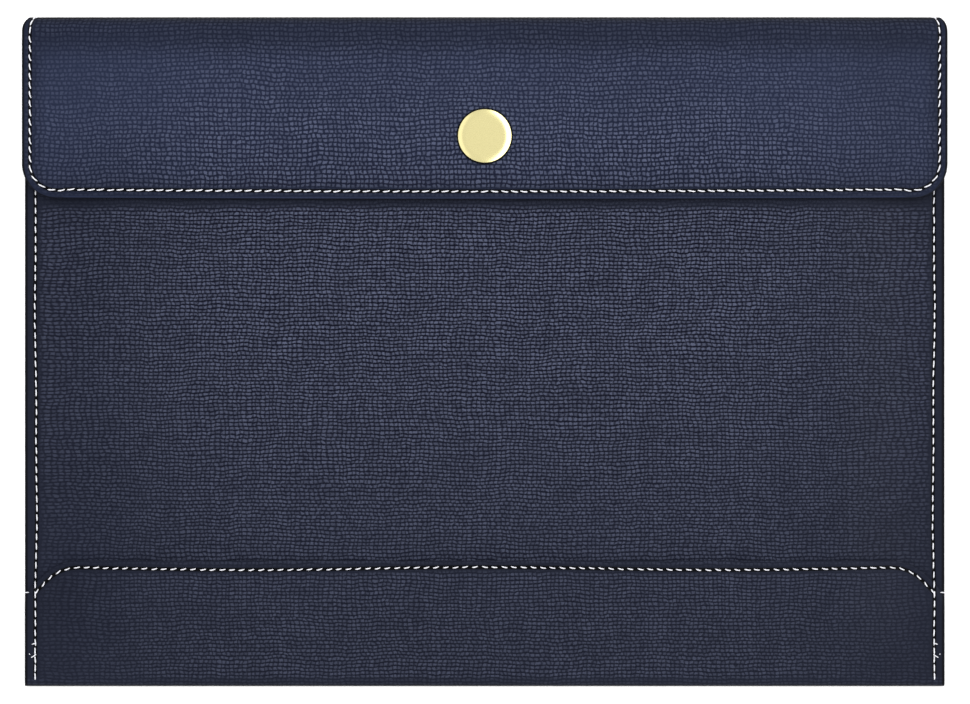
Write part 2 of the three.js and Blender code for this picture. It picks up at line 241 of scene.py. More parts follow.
def band_seam_y(x):
    """How far the band's seam lies above an even distance from the edge.

    It sags between the middle and the ends, where this is negative.
    """
    return -BAND_SEAM_SAG * np.sin(np.pi * np.abs(x) / BAND_SAG_SPAN) ** 2 * (np.abs(x) < BOW_REACH)


def flap_seam_inset(x):
    return EDGE_SEAM_INSET + FLAP_SEAM_BOW * (np.abs(x) / BOW_REACH) ** 2 * (np.abs(x) < BOW_REACH)


def flap_sag(x):
    """The flap's free edge hangs a little lower at its middle."""
    return FLAP_SAG * (1 - np.minimum(np.abs(x) / BOW_REACH, 1) ** 2)


def fold_seam_inset(angle):
    """The seam keeps straight where the fold's ends draw in, so it comes close to them."""
    flat = np.where(angle > 0, EDGE_SEAM_INSET, SIDE_SEAM_INSET)
    return flat + (FOLD_SEAM_INSET - flat) * np.abs(np.cos(angle)) ** 3


# Meshes


def mesh_object(name, vertices, faces, materials, indices, attributes):
    mesh = bpy.data.meshes.new(name)
    mesh.from_pydata([tuple(v) for v in np.asarray(vertices) * MM], [], faces)
    for material in materials:
        mesh.materials.append(material)
    mesh.polygons.foreach_set("material_index", indices)
    for key, values in attributes.items():
        kind = "FLOAT_VECTOR" if values.ndim == 2 else "FLOAT"
        layer = mesh.attributes.new(key, kind, "POINT")
        field = "vector" if values.ndim == 2 else "value"
        layer.data.foreach_set(field, values.astype(np.float32).ravel())
    mesh.polygons.foreach_set("use_smooth", [True] * len(mesh.polygons))
    mesh.update()
    obj = bpy.data.objects.new(name, mesh)
    bpy.context.scene.collection.objects.link(obj)
    return obj


def leather_sheet(name, outer, inner, faces, materials, attributes, open_border):
    """Outer and inner faces of a sheet, with a wall along each free edge.

    An edge takes no wall where open_border is true of both its points.
    """
    count = len(outer)
    used = dict.fromkeys((a, b) for face in faces for a, b in zip(face, face[1:] + face[:1]))
    walls = []
    for a, b in used:
        if (b, a) not in used and not (open_border[a] and open_border[b]):
            walls.append([b, a, a + count, b + count])
    turned_over = [[i + count for i in reversed(face)] for face in faces]
    indices = [0] * len(faces) + [1] * len(turned_over) + [2] * len(walls)
    doubled = {key: np.concatenate([v, v]) for key, v in attributes.items()}
    vertices = np.concatenate([outer, inner])
    return mesh_object(name, vertices, faces + turned_over + walls, materials, indices, doubled)


def grid_faces(columns, rows):
    faces = []
    for i in range(columns - 1):
        for j in range(rows - 1):
            a = i * rows + j
            faces.append([a, a + rows, a + rows + 1, a + 1])
    return faces


def mirrored(half):
    half = np.asarray(half)
    return np.concatenate([-half[::-1], half[1:] if half[0] == 0 else half])


# Distances from an edge at which the meshes have points: close together over its rounding and the seam
EDGE_STEPS = np.array([0, 0.03, 0.1, 0.22, 0.4, 0.6, 0.9, 1.3, 1.7])
SEAM_STEPS = np.arange(2.0, 5.4, 0.3)
BAND_SEAM_STEPS = np.arange(2.0, 5.6, 0.3)
PANEL_STEPS = [6.2, 7.2]
FLAP_STEPS = [6.2, 7.6, 9.4]
EVEN_FROM = 8
PANEL_SPACING = 2.5
FOLD_SPACING = 3.0


def columns_to(edge, spacing):
    near = edge - np.concatenate([EDGE_STEPS, SEAM_STEPS, PANEL_STEPS])
    return mirrored(np.unique(np.concatenate([np.arange(0, edge - EVEN_FROM, spacing), near])))


# Each point of the leather carries lay, its place on the flat hide, edge and seam, its distances from
# the nearest edge and seam, grain, how deep the grain stands, shade, a factor on its colour that paints in
# light and shade, and hue, which is 1 on the bluer flap and 0 on the rest. What is taken off edge makes the
# dark rim wider: edge paint, and past it painted shade along the outline.
PANEL_RIM = 0.7
FLAP_RIM = 0.52
DRAWN_FROM = 125.0
FLAP_DRAWN_FROM = 150
DRAWN_SHARE = 0.5
DRAWN_REACH = 60
FLAP_GRAIN_X = 0.96
FLAP_GRAIN_Y = 0.85


def lay_vector(x, s, drawn_from=DRAWN_FROM):
    """A point's place on the hide; beyond drawn_from the grain is drawn out towards the sides."""
    past = np.maximum(np.abs(x) - drawn_from, 0)
    drawn = np.abs(x) - DRAWN_SHARE * past**2 / (past + DRAWN_REACH)
    return np.stack([np.sign(x) * drawn, s, np.zeros_like(x)], axis=1)


def flap_lay(x, s):
    """The grain is a little larger on the flap and the fold."""
    return lay_vector(FLAP_GRAIN_X * x, FLAP_GRAIN_Y * s, FLAP_DRAWN_FROM)


# Where the grain is weaker, and how much of it is left or lost there
PRESSED_LEAST = 0.06
EDGE_PRESSED = 3.0
SEAM_PRESSED = 0.6
SEAM_CALM_SHARE = 0.35
UPPER_FADE = (60, 108)
UPPER_LOSS = 0.5
FOLD_LINE_FADE = (109, 118)
FOLD_LINE_LOSS = 0.5
SIDE_FADE = (6, 90)
SIDE_LEAST = 0.48
LOWER_FADE = (-100, 30)
LOWER_LEAST = 0.52
CORNER_SIDE_FADE = (4, 45)
CORNER_LOW_FADE = (-100, -30)
CORNER_LOSS = 0.5


def from_least(least, share):
    return least + (1 - least) * share


def grain_strength(x, y, edge, seam, calm=7.5):
    """How deep the grain stands: pressed flat along edges and seams, weaker up, down and to the sides.

    calm is the distance from an edge at which the grain stands full.
    """
    from_side = HALF_WIDTH - np.abs(x)
    pressed = smoothstep(edge, EDGE_PRESSED, calm) * smoothstep(seam, SEAM_PRESSED, SEAM_CALM_SHARE * calm)
    upper = 1 - UPPER_LOSS * smoothstep(y, *UPPER_FADE)
    fold_line = 1 - FOLD_LINE_LOSS * smoothstep(y, *FOLD_LINE_FADE)
    sides = from_least(SIDE_LEAST, smoothstep(from_side, *SIDE_FADE))
    low = from_least(LOWER_LEAST, smoothstep(y, *LOWER_FADE))
    near_side = 1 - smoothstep(from_side, *CORNER_SIDE_FADE)
    near_bottom = 1 - smoothstep(y, *CORNER_LOW_FADE)
    corner = 1 - CORNER_LOSS * near_side * near_bottom
    return from_least(PRESSED_LEAST, pressed) * (upper * fold_line) * sides * low * corner


# Fineness of the flap's mesh
FLAP_SIDE_POINTS = 26
FLAP_CORNER_STEPS = 14
FLAP_EDGE_POINTS = 175
CAP_RINGS = (9.2, 9.6, 9.9, 10.3, 10.8, 11.6, 13.0)
CAP_RING_POINTS = 72
CAP_RINGS_REACH = 14
FIELD_INSET = 12.5
FIELD_COLUMNS = 90
FIELD_ROWS = 18
SAME_POINT = 1e-5


def flap_ring(distance):
    """Points at this distance from the edge: down the left side, along the free edge, up the right."""
    reach = FLAP_HALF_WIDTH - FLAP_CORNER_RADIUS
    radius = FLAP_CORNER_RADIUS - distance
    side_x = distance - FLAP_HALF_WIDTH
    left = [(side_x, y) for y in np.linspace(FOLD_LINE, FLAP_CORNER_Y, FLAP_SIDE_POINTS)]
    turn = [math.pi + math.pi / 2 * k / FLAP_CORNER_STEPS for k in range(1, FLAP_CORNER_STEPS)]
    arc = [(-reach + radius * math.cos(a), FLAP_CORNER_Y + radius * math.sin(a)) for a in turn]
    flat = [(x, FLAP_EDGE + distance) for x in np.linspace(-reach, reach, FLAP_EDGE_POINTS)]
    right = [(-x, y) for x, y in reversed(left + arc)]
    return left + arc + flat + right


def flap_plan():
    """The flap's points and faces, seen from above."""
    points = []
    edges = []
    for distance in [*EDGE_STEPS, *SEAM_STEPS, *FLAP_STEPS]:
        line = flap_ring(distance)
        start = len(points)
        points += line
        edges += [(start + i, start + i + 1) for i in range(len(line) - 1)]
    for ring in CAP_RINGS:
        for a in np.linspace(0, 2 * math.pi, CAP_RING_POINTS, endpoint=False):
            points.append((ring * math.cos(a), SNAP_Y + ring * math.sin(a)))
    inner_x = FLAP_HALF_WIDTH - FIELD_INSET
    for x in np.linspace(-inner_x, inner_x, FIELD_COLUMNS):
        for y in np.linspace(FLAP_EDGE + FIELD_INSET, FOLD_LINE, FIELD_ROWS):
            if math.hypot(x, y - SNAP_Y) > CAP_RINGS_REACH:
                points.append((x, y))
    cut = geometry.delaunay_2d_cdt([Vector(p) for p in points], edges, [], 0, SAME_POINT)
    flat = np.array([[v.x, v.y] for v in cut[0]])
    faces = [list(f) for f in cut[2]]
    corner = flat[np.array([f[:3] for f in faces])]
    side = np.cross(corner[:, 1] - corner[:, 0], corner[:, 2] - corner[:, 0])
    faces = [f if s > 0 else f[::-1] for f, s in zip(faces, side)]
    return flat[:, 0], flat[:, 1], faces


# Looks of the flap, with its painted light, painted shade and painted highlight
FLAP_SAG_DEPTH = 18
FLAP_UNDER_DIP = 0.5
FLAP_LIGHT = 0.6
FLAP_LIGHT_FADE = (2.8, 9)
FLAP_LIGHT_LEAST = 0.6
FLAP_LIGHT_RISE = (60, 84)
BEVEL_LIGHT = 0.8
BEVEL_INSET = 0.5
BEVEL_WIDTH = 0.25
FLAP_RIM_FADE = (FLAP_EDGE + 2, FLAP_EDGE + 12)
FLAP_TOP_START = 102
FLAP_TOP_SHADE = 0.02
CAP_SHADOW_OFFSET = 0.15
FLAP_GRAIN = 0.74
FLAP_CALM = 5
FLAP_EDGE_GRAIN = 0.22
FLAP_EDGE_GRAIN_FADE = (0.8, 1.4)
FOLD_GRAIN = 0.3
ON_BORDER = 1e-4


def make_flap(materials):
    x, y, faces = flap_plan()
    edge = flap_edge_distance(x, y)
    inset = flap_seam_inset(x) * (y < FLAP_CORNER_Y) + EDGE_SEAM_INSET * (y >= FLAP_CORNER_Y)
    seam = np.abs(edge - inset)
    face = flap_face(x, y)
    drop = edge_drop(edge)
    dip = seam_dip(seam)
    rim = np.abs(np.hypot(x, y - SNAP_Y) - CAP_RADIUS)
    sag = flap_sag(x) * (1 - smoothstep(y, FLAP_EDGE, FLAP_EDGE + FLAP_SAG_DEPTH))
    outer = np.stack([x, y - sag, face - drop - dip], axis=1)
    inner = np.stack([x, y - sag, face - SHEET + drop + FLAP_UNDER_DIP * dip], axis=1)
    # Painted light: brighter away from the flap's edges, less so towards its free edge; painted shade at
    # its top by the fold
    rise = from_least(FLAP_LIGHT_LEAST, smoothstep(y, *FLAP_LIGHT_RISE))
    lit = FLAP_LIGHT * smoothstep(edge, *FLAP_LIGHT_FADE) * rise
    # Painted highlight along the rounded free edge of the flap's middle
    off_bevel = (y - FLAP_EDGE - BEVEL_INSET) / BEVEL_WIDTH
    bevel_highlight = BEVEL_LIGHT * np.exp(-(off_bevel**2)) * (np.abs(x) < BOW_REACH)
    top = smoothstep(y, FLAP_TOP_START, FOLD_LINE)
    edge_grain = FLAP_EDGE_GRAIN * smoothstep(edge, *FLAP_EDGE_GRAIN_FADE)
    attributes = {
        "lay": flap_lay(x, y),
        "edge": edge - FLAP_RIM * smoothstep(y, *FLAP_RIM_FADE),
        # Painted shadow: the seams' darkening also rings the snap's cap
        "seam": np.minimum(seam, rim + CAP_SHADOW_OFFSET),
        "grain": FLAP_GRAIN * np.maximum(grain_strength(x, y, edge, seam, FLAP_CALM), edge_grain),
        "shade": 1 + lit * (1 - top) - FLAP_TOP_SHADE * top + bevel_highlight,
        "hue": np.ones_like(x),
    }
    open_border = y > FOLD_LINE - ON_BORDER
    return leather_sheet("flap_leather", outer, inner, faces, materials, attributes, open_border)


# The fold carries painted shade, darker towards the top of its turn and darkest on the outline seen from
# the front:
# loss of brightness, and the cosines between which it comes
FOLD_ROWS = 33
FOLD_SHADE = 0.98
FOLD_TURN_LOSS = 0.28
FOLD_TURN_FADE = (0.45, 0.8)
FOLD_OUTLINE_LOSS = 0.58
FOLD_OUTLINE_FADE = (0.85, 0.93)


def make_fold(materials):
    columns = columns_to(FLAP_HALF_WIDTH, FOLD_SPACING)
    angles = np.linspace(math.pi / 2, -math.pi / 2, FOLD_ROWS)
    x, angle = (a.ravel() for a in np.meshgrid(columns, angles, indexing="ij"))
    bend = np.cos(angle)
    edge = FLAP_HALF_WIDTH - np.abs(x)
    seam = np.abs(edge - fold_seam_inset(angle))
    rise = (FLAP_FACE - flap_droop(x)) / 2
    place = x / FLAP_HALF_WIDTH * fold_half_width(angle)

    def face(inset):
        y = FOLD_LINE + (FOLD_RADIUS - inset) * bend
        return np.stack([place, y, rise + (rise - inset) * np.sin(angle)], axis=1)

    drop = edge_drop(edge)
    along = FOLD_LINE + FOLD_RADIUS * (math.pi / 2 - angle)
    # Painted shade: darker over the top of the fold's turn and darkest on its outline
    turn_loss = FOLD_TURN_LOSS * smoothstep(bend, *FOLD_TURN_FADE)
    outline_loss = FOLD_OUTLINE_LOSS * smoothstep(bend, *FOLD_OUTLINE_FADE)
    attributes = {
        "lay": flap_lay(x, along),
        "edge": edge - FLAP_RIM,
        "seam": seam,
        "grain": FOLD_GRAIN * smoothstep(edge, EDGE_PRESSED, FLAP_CALM),
        "shade": FOLD_SHADE - turn_loss - outline_loss,
        "hue": np.ones_like(x),
    }
    open_border = np.abs(angle) > math.pi / 2 - ON_BORDER
    faces = grid_faces(len(columns), len(angles))
    outer, inner = face(drop + seam_dip(seam)), face(SHEET - drop)
    return leather_sheet("top_fold_leather", outer, inner, faces, materials, attributes, open_border)


# Along the flap's free edge a strip of the front panel keeps little grain and so shows the darker plain
# colour: painted shadow of the flap's edge
FRONT_ROW_SPACING = 2.5
NEAR_FLAP_ROWS = np.arange(50.0, 58.0, 0.5)
MOUTH_ROWS = 4
FRONT_HIDE_SHIFT = 900
SHADOW_STRIP_BELOW = (49.8, 53.2)
SHADOW_STRIP_ABOVE = (54.6, 58)
SHADOW_STRIP_LEAST = 0.12


def make_front(materials):
    columns = columns_to(HALF_WIDTH, PANEL_SPACING)
    coarse = np.arange(HEM_LINE + LAYER_GAP, MOUTH - MOUTH_ROWS, FRONT_ROW_SPACING)
    rows = np.unique(np.concatenate([coarse, NEAR_FLAP_ROWS, MOUTH - EDGE_STEPS, [MOUTH - 3]]))
    x, y = (a.ravel() for a in np.meshgrid(columns, rows, indexing="ij"))
    side = HALF_WIDTH - np.abs(x)
    edge = np.minimum(side, MOUTH - y)
    seam = np.abs(side_seam_x(y) - np.abs(x))
    face = front_face(x, y)
    drop = edge_drop(edge)
    outer = np.stack([x, y, face - drop - seam_dip(seam)], axis=1)
    inner = np.stack([x, y, face - SHEET + drop], axis=1)
    # Painted shadow: little grain, so the darker plain colour, in the strip along the flap's free edge
    off_shadow_strip = np.maximum(1 - smoothstep(y, *SHADOW_STRIP_BELOW), smoothstep(y, *SHADOW_STRIP_ABOVE))
    attributes = {
        "lay": lay_vector(x, y + FRONT_HIDE_SHIFT),
        "edge": edge - PANEL_RIM,
        "seam": seam,
        "grain": grain_strength(x, y, side, seam) * from_least(SHADOW_STRIP_LEAST, off_shadow_strip),
        "shade": np.ones_like(x),
        "hue": np.zeros_like(x),
    }
    faces = grid_faces(len(columns), len(rows))
    open_border = np.zeros(len(x), bool)
    return leather_sheet("front_leather", outer, inner, faces, materials, attributes, open_border)


# The back sheet, row by row: the back, the hem round the bottom, and the band up the front
BACK_ROW_STEP = -8.0
HEM_ROWS = 17
BAND_ROWS = 16
BAND_ROWS_START = 0.03
BAND_ROWS_END = 6
GROOVE_DEPTH = 0.55
GROOVE_WIDTH = 0.55
BACK_GRAIN_TOP = 60
BACK_TOP_START = 92
BACK_TOP_LOSS = 0.8
HEM_GRAIN = 0.16
BAND_SEAM_END = 3.0
BAND_RIM_OFFSET = 0.95
BAND_EDGE_ROUND = 0.5
BAND_CALM_LEAST = 0.4
BAND_CALM_FADE = (2.6, 6)
# Painted shade where the hem turns under at the bottom: how much brightness it takes, and the distances
# over which it fades
HEM_SHADE_LOSS = 0.8
HEM_SHADE_FADE = (0.1, 0.7)


def side_seam_distance(x, y):
    return np.abs(side_seam_x(y) - np.abs(x))


def back_row(x, height):
    """A row of the back, with the side seams in a groove."""
    y = np.full_like(x, height)
    side = HALF_WIDTH - np.abs(x)
    seam = side_seam_distance(x, y)
    groove = GROOVE_DEPTH * np.exp(-((seam / GROOVE_WIDTH) ** 2))
    top = 1 - BACK_TOP_LOSS * smoothstep(y, BACK_TOP_START, FOLD_LINE)
    return {
        "outer": np.stack([x, y, edge_drop(side) + groove], axis=1),
        "inner": np.stack([x, y, SHEET - edge_drop(side)], axis=1),
        "edge": side,
        "seam": seam,
        "lay": lay_vector(x, FOLD_LINE + math.pi * FOLD_RADIUS + FOLD_LINE - y),
        "grain": grain_strength(x, np.minimum(y, BACK_GRAIN_TOP), side, seam) * top,
    }


def hem_row(x, angle):
    """A row round the hem, from the back (-pi / 2) to the band (pi / 2)."""
    side = HALF_WIDTH - np.abs(x)
    outside = HEM_RADIUS - 0.5 * edge_drop(side)
    inside = HEM_RADIUS - SHEET + edge_drop(side)
    sine, cosine = math.sin(angle), math.cos(angle)
    along = HEM_LINE - HEM_RADIUS * (math.pi / 2 - angle)
    return {
        "outer": np.stack([x, HEM_LINE - outside * cosine, HEM_RADIUS + outside * sine], axis=1),
        "inner": np.stack([x, HEM_LINE - inside * cosine, HEM_RADIUS + inside * sine], axis=1),
        "edge": side,
        "seam": np.full_like(x, FAR),
        "lay": lay_vector(x, np.full_like(x, along)),
        "grain": np.full_like(x, HEM_GRAIN),
    }


def band_row(x, y, top, lean):
    """A row of the band; top is the band's edge at each x, and lean takes heights to distances from it."""
    side = HALF_WIDTH - np.abs(x)
    under = (top - y) * lean
    band_seam = np.abs(under - BAND_SEAM_INSET + band_seam_y(x))
    seam = np.minimum(side_seam_distance(x, y), np.where(side < BAND_SEAM_END, FAR, band_seam))
    face = band_face(x, y) - skive(x, under)
    drop = np.maximum(edge_drop(side), BAND_EDGE_ROUND * edge_drop(under))
    calm = from_least(BAND_CALM_LEAST, smoothstep(under, *BAND_CALM_FADE))
    return {
        "outer": np.stack([x, y, face - drop - seam_dip(seam)], axis=1),
        "inner": np.stack([x, y, face - SHEET + drop], axis=1),
        "edge": np.minimum(side, under + BAND_RIM_OFFSET),
        "seam": seam,
        "lay": lay_vector(x, y),
        "grain": grain_strength(x, y, side, seam) * calm,
    }


def make_back(materials):
    x = columns_to(HALF_WIDTH, PANEL_SPACING)
    top = band_edge(x)
    lean = 1 / np.sqrt(1 + np.gradient(top, x) ** 2)
    below = np.concatenate([EDGE_STEPS, BAND_SEAM_STEPS])
    shares = np.linspace(BAND_ROWS_START, 1.0, BAND_ROWS)
    band_heights = [HEM_LINE + (top - BAND_ROWS_END - HEM_LINE) * share for share in shares]
    band_heights += [top - distance for distance in below[::-1]]
    rows = [back_row(x, y) for y in [*np.arange(FOLD_LINE, HEM_LINE, BACK_ROW_STEP), HEM_LINE + 1]]
    rows += [hem_row(x, angle) for angle in np.linspace(-math.pi / 2, math.pi / 2, HEM_ROWS)]
    rows += [band_row(x, y, top, lean) for y in band_heights]
    flat = {}
    for key in rows[0]:
        joined = np.stack([row[key] for row in rows], axis=1)
        flat[key] = joined.reshape(-1, 3) if joined.ndim == 3 else joined.ravel()
    open_border = np.zeros((len(x), len(rows)), bool)
    open_border[:, 0] = True
    outer, inner = flat["outer"], flat["inner"]
    attributes = {
        "lay": flat["lay"],
        "edge": flat["edge"] - PANEL_RIM,
        "seam": flat["seam"],
        "grain": flat["grain"],
        # Painted shade where the hem turns under
        "shade": 1 - HEM_SHADE_LOSS * (1 - smoothstep(outer[:, 1] - BOTTOM, *HEM_SHADE_FADE)),
        "hue": np.zeros_like(flat["edge"]),
    }
    faces = grid_faces(len(x), len(rows))
    return leather_sheet("back_leather", outer, inner, faces, materials, attributes, open_border.ravel())


# Sewing: a stitch runs from -1 to 1, is thinner at its ends, and dips into the leather there
THREAD_RADIUS = 0.24
THREAD_TWIST = 0.09
PLY_LENGTH = 1.3
STITCH_RINGS = 13
STITCH_SIDES = 8
STITCH_RISE = 0.2
STITCH_PLUNGE = 0.75
STITCH_TAPER = 0.3
HOOK_POWER = 2.4
HOOK_MIDDLE = 0.7
HOOK_TAPER = 0.2
HEADING_REACH = 0.8
ON_SEAM = 0.2

# How far hand sewing strays along the seam, in place, in heading, in length and in slant
STATION_SCATTER = 0.05
PLACE_SCATTER = 0.04
HEADING_SCATTER = 0.025
LENGTH_SCATTER = 0.08
SLANT_SPREAD = (0.8, 1.2)


def tube(centres, radii, sides, twist=0.0):
    """Rings of points round a path, for one closed tube; twist is how far its two plies stand out."""
    centres = np.asarray(centres)
    ahead = np.gradient(centres, axis=0)
    ahead /= np.linalg.norm(ahead, axis=1, keepdims=True)
    up = np.array([0, 0, 1.0])
    aside = np.cross(ahead, up)
    aside /= np.maximum(np.linalg.norm(aside, axis=1, keepdims=True), 1e-6)
    over = np.cross(aside, ahead)
    along = np.concatenate([[0], np.cumsum(np.linalg.norm(np.diff(centres, axis=0), axis=1))])
    turn = np.linspace(0, 2 * math.pi, sides, endpoint=False)
    ply = 1 + twist * np.cos(2 * turn[None, :] + 2 * math.pi * along[:, None] / PLY_LENGTH)
    radius = np.asarray(radii)[:, None] * ply
    ring = aside[:, None, :] * np.cos(turn)[None, :, None] + over[:, None, :] * np.sin(turn)[None, :, None]
    return centres[:, None, :] + ring * radius[:, :, None]


def tubes_object(name, rings_list, material):
    vertices = []
    faces = []
    start = 0
    for rings in rings_list:
        count, sides = rings.shape[:2]
        vertices.append(rings.reshape(-1, 3))
        for i in range(count - 1):
            for j in range(sides):
                k = (j + 1) % sides
                a = start + i * sides
                faces.append([a + j, a + k, a + sides + k, a + sides + j])
        faces.append([start + j for j in reversed(range(sides))])
        faces.append([start + (count - 1) * sides + j for j in range(sides)])
        start += count * sides
    vertices = np.concatenate(vertices)
    return mesh_object(name, vertices, faces, [material], [0] * len(faces), {})


def stitch(centre, heading, length, slant, flip, height, sign=1.0, thick=1.0):
    """One stitch at centre (x, y), heading in radians, over a face of this height(x, y).

    It hooks aside at one end, which flip chooses. Its middle bulges up with sign 1, down with -1,
    and with 0 it lies level.
    """
    t = np.linspace(-1, 1, STITCH_RINGS)
    ahead = np.array([math.cos(heading), math.sin(heading)])
    aside = np.array([-ahead[1], ahead[0]])
    offset = slant * (2 * ((flip * t + 1) / 2) ** HOOK_POWER - HOOK_MIDDLE)
    flat = centre + np.outer(t * length / 2, ahead) + np.outer(offset, aside)
    bulge = STITCH_RISE - STITCH_PLUNGE * np.abs(t) ** 6
    z = height(flat[:, 0], flat[:, 1]) + sign * bulge
    taper = STITCH_TAPER * np.abs(t) ** 3 + HOOK_TAPER * np.clip(flip * t, 0, 1) ** 2
    return tube(np.column_stack([flat, z]), thick * THREAD_RADIUS * (1 - taper), STITCH_SIDES, THREAD_TWIST)


def stations(line, pitch):
    """Places for stitches along a polyline of (x, y) points: place, heading and spacing."""
    line = np.asarray(line, float)
    steps = np.linalg.norm(np.diff(line, axis=0), axis=1)
    along = np.concatenate([[0], np.cumsum(steps)])
    count = max(1, round(along[-1] / pitch))
    step = along[-1] / count

    def at(s):
        return np.array([np.interp(s, along, line[:, 0]), np.interp(s, along, line[:, 1])])

    for k in range(count):
        s = (k + 0.5) * step + rng.normal(0, STATION_SCATTER)
        ahead = at(s + HEADING_REACH) - at(s - HEADING_REACH)
        yield at(s), math.atan2(ahead[1], ahead[0]), step


def sew(line, height, pitch, fill, slant, sign=1.0, thick=1.0):
    """Stitches along a polyline, each filling a share of its pitch; the right half mirrors the slant."""
    made = []
    for place, heading, step in stations(line, pitch):
        flip = -1.0 if place[0] > 0 else 1.0
        place = place + rng.normal(0, PLACE_SCATTER, 2)
        heading += rng.normal(0, HEADING_SCATTER)
        length = step * fill + rng.normal(0, LENGTH_SCATTER)
        lean = slant * rng.uniform(*SLANT_SPREAD)
        made.append(stitch(place, heading, length, lean, flip, height, sign, thick))
    return made


def surface(face, depth=ON_SEAM):
    """Heights that lie this far under a face."""
    return lambda x, y: face(x, y) - depth


# Points along the flap's side, corner and free edge, along the band's seam and along a side seam
FLAP_SEAM_POINTS = (30, 24, 150)
BAND_SEAM_POINTS = 900
SIDE_SEAM_POINTS = 160
FLAP_SEAM_START = FOLD_LINE - 0.2
BAND_SEAM_PAST_SIDE = 0.9


def flap_seam_lines():
    """The left side, left corner and free edge of the flap, then the right corner and side."""
    side_points, corner_points, edge_points = FLAP_SEAM_POINTS
    reach = FLAP_HALF_WIDTH - FLAP_CORNER_RADIUS
    inset = EDGE_SEAM_INSET
    radius = FLAP_CORNER_RADIUS - inset
    heights = np.linspace(FLAP_SEAM_START, FLAP_CORNER_Y, side_points)
    left = [(inset - FLAP_HALF_WIDTH, y) for y in heights]
    turn = np.linspace(math.pi, 1.5 * math.pi, corner_points)
    arc = [(-reach + radius * math.cos(a), FLAP_CORNER_Y + radius * math.sin(a)) for a in turn]
    xs = np.linspace(-reach, reach, edge_points)
    flat = list(zip(xs, FLAP_EDGE + flap_seam_inset(xs) - flap_sag(xs)))
    right = [[(-x, y) for x, y in reversed(part)] for part in (arc, left)]
    return left, arc, flat, *right


def band_seam_line():
    end = HALF_WIDTH - SIDE_SEAM_INSET + BAND_SEAM_PAST_SIDE
    xs = np.linspace(-end, end, BAND_SEAM_POINTS)
    top = band_edge(xs)
    lean = 1 / np.sqrt(1 + np.gradient(top, xs) ** 2)
    return np.column_stack([xs, top - BAND_SEAM_INSET / lean + band_seam_y(xs)])


def side_seam_line(sign, low, high):
    y = np.linspace(low, high, SIDE_SEAM_POINTS)
    return np.column_stack([sign * side_seam_x(y), y])


STEP_START = -0.4
STEP_END = 1.4


def side_height(x, y):
    """The band's face and, past its edge, the front panel's."""
    edge = band_edge(x)
    t = smoothstep(y, edge + STEP_START, edge + STEP_END)
    return band_face(x, y) * (1 - t) + front_face(x, y) * t - ON_SEAM


GROOVE_STITCH_HEIGHT = 0.34


def level_back(x, y):
    """Height of the stitches sunk in the groove of the underside."""
    return np.full_like(np.asarray(x, float), GROOVE_STITCH_HEIGHT)


FLAP_PITCHES = (3.35, 3.4, 3.54, 3.4, 3.35)
FLAP_SLANTS = (0.34, 0.28, 0.23, 0.28, 0.34)
FLAP_FILL = 0.8
UNDERSIDE_DEPTH = SHEET - 0.1
UNDERSIDE_SLANT = 0.04


def make_flap_thread(material):
    made = []
    outside = surface(flap_face)
    underside = surface(flap_face, UNDERSIDE_DEPTH)
    for part, pitch, slant in zip(flap_seam_lines(), FLAP_PITCHES, FLAP_SLANTS):
        made += sew(part, outside, pitch, FLAP_FILL, slant)
        made += sew(part, underside, pitch, FLAP_FILL, UNDERSIDE_SLANT, sign=-1.0)
    return tubes_object("flap_thread", made, material)


FOLD_STITCHES = 6
FOLD_HALF_FILL = 0.41
FOLD_STITCH_PLUNGE = 0.7
FOLD_STITCH_SLANT = 0.12
LOWEST_STITCH = 0.31


def make_fold_thread(material):
    """The flap's side stitches carried round the top fold to the back."""
    made = []
    t = np.linspace(-1, 1, STITCH_RINGS)
    out = STITCH_RISE - FOLD_STITCH_PLUNGE * np.abs(t) ** 6 - SEAM_DEPTH
    radii = THREAD_RADIUS * (1 - STITCH_TAPER * np.abs(t) ** 3)
    for sign in (-1, 1):
        for k in range(FOLD_STITCHES):
            middle = math.pi / 2 - math.pi * (k + 0.5) / FOLD_STITCHES
            angle = middle - FOLD_HALF_FILL * math.pi / FOLD_STITCHES * t
            seam_x = fold_half_width(angle) - fold_seam_inset(angle)
            rise = (FLAP_FACE - flap_droop(seam_x)) / 2
            x = sign * (seam_x - FOLD_STITCH_SLANT * t)
            y = FOLD_LINE + (FOLD_RADIUS + out) * np.cos(angle)
            z = np.maximum(rise + (rise + out) * np.sin(angle), LOWEST_STITCH)
            made.append(tube(np.column_stack([x, y, z]), radii, STITCH_SIDES, THREAD_TWIST))
    return tubes_object("fold_thread", made, material)


def make_band_thread(material):
    made = sew(band_seam_line(), surface(band_face), pitch=3.5, fill=0.63, slant=0.24, thick=0.95)
    return tubes_object("band_thread", made, material)


# Outside the band's side seams short ends of thread show: one wraps the edge, three lie by the seam.
# Each is a path of (x, y, z) points on the right side, and the left side mirrors it.
THREAD_ENDS = [
    [(164.8, -86.4, 3.5), (164.4, -86.4, 4.5), (163.9, -86.3, 4.8), (163.5, -86.4, 4.5)],
    [(163.4, -108.4, 4.9), (163.25, -108.5, 5.4), (163.1, -108.6, 4.9)],
    [(161.0, -108.6, 5.3), (161.8, -109.2, 5.6), (162.7, -109.7, 5.35)],
    [(161.2, -104.8, 5.3), (161.8, -104.7, 5.6), (162.4, -105.0, 5.35)],
]
THREAD_END_RINGS = 9
THREAD_END_RADII = (0.2, 0.15)
SIDE_SEAM_LOW = BOTTOM + 2.0
SIDE_SEAM_HIGH = MOUTH - 2
BACKSTITCH_TOP = -106.0


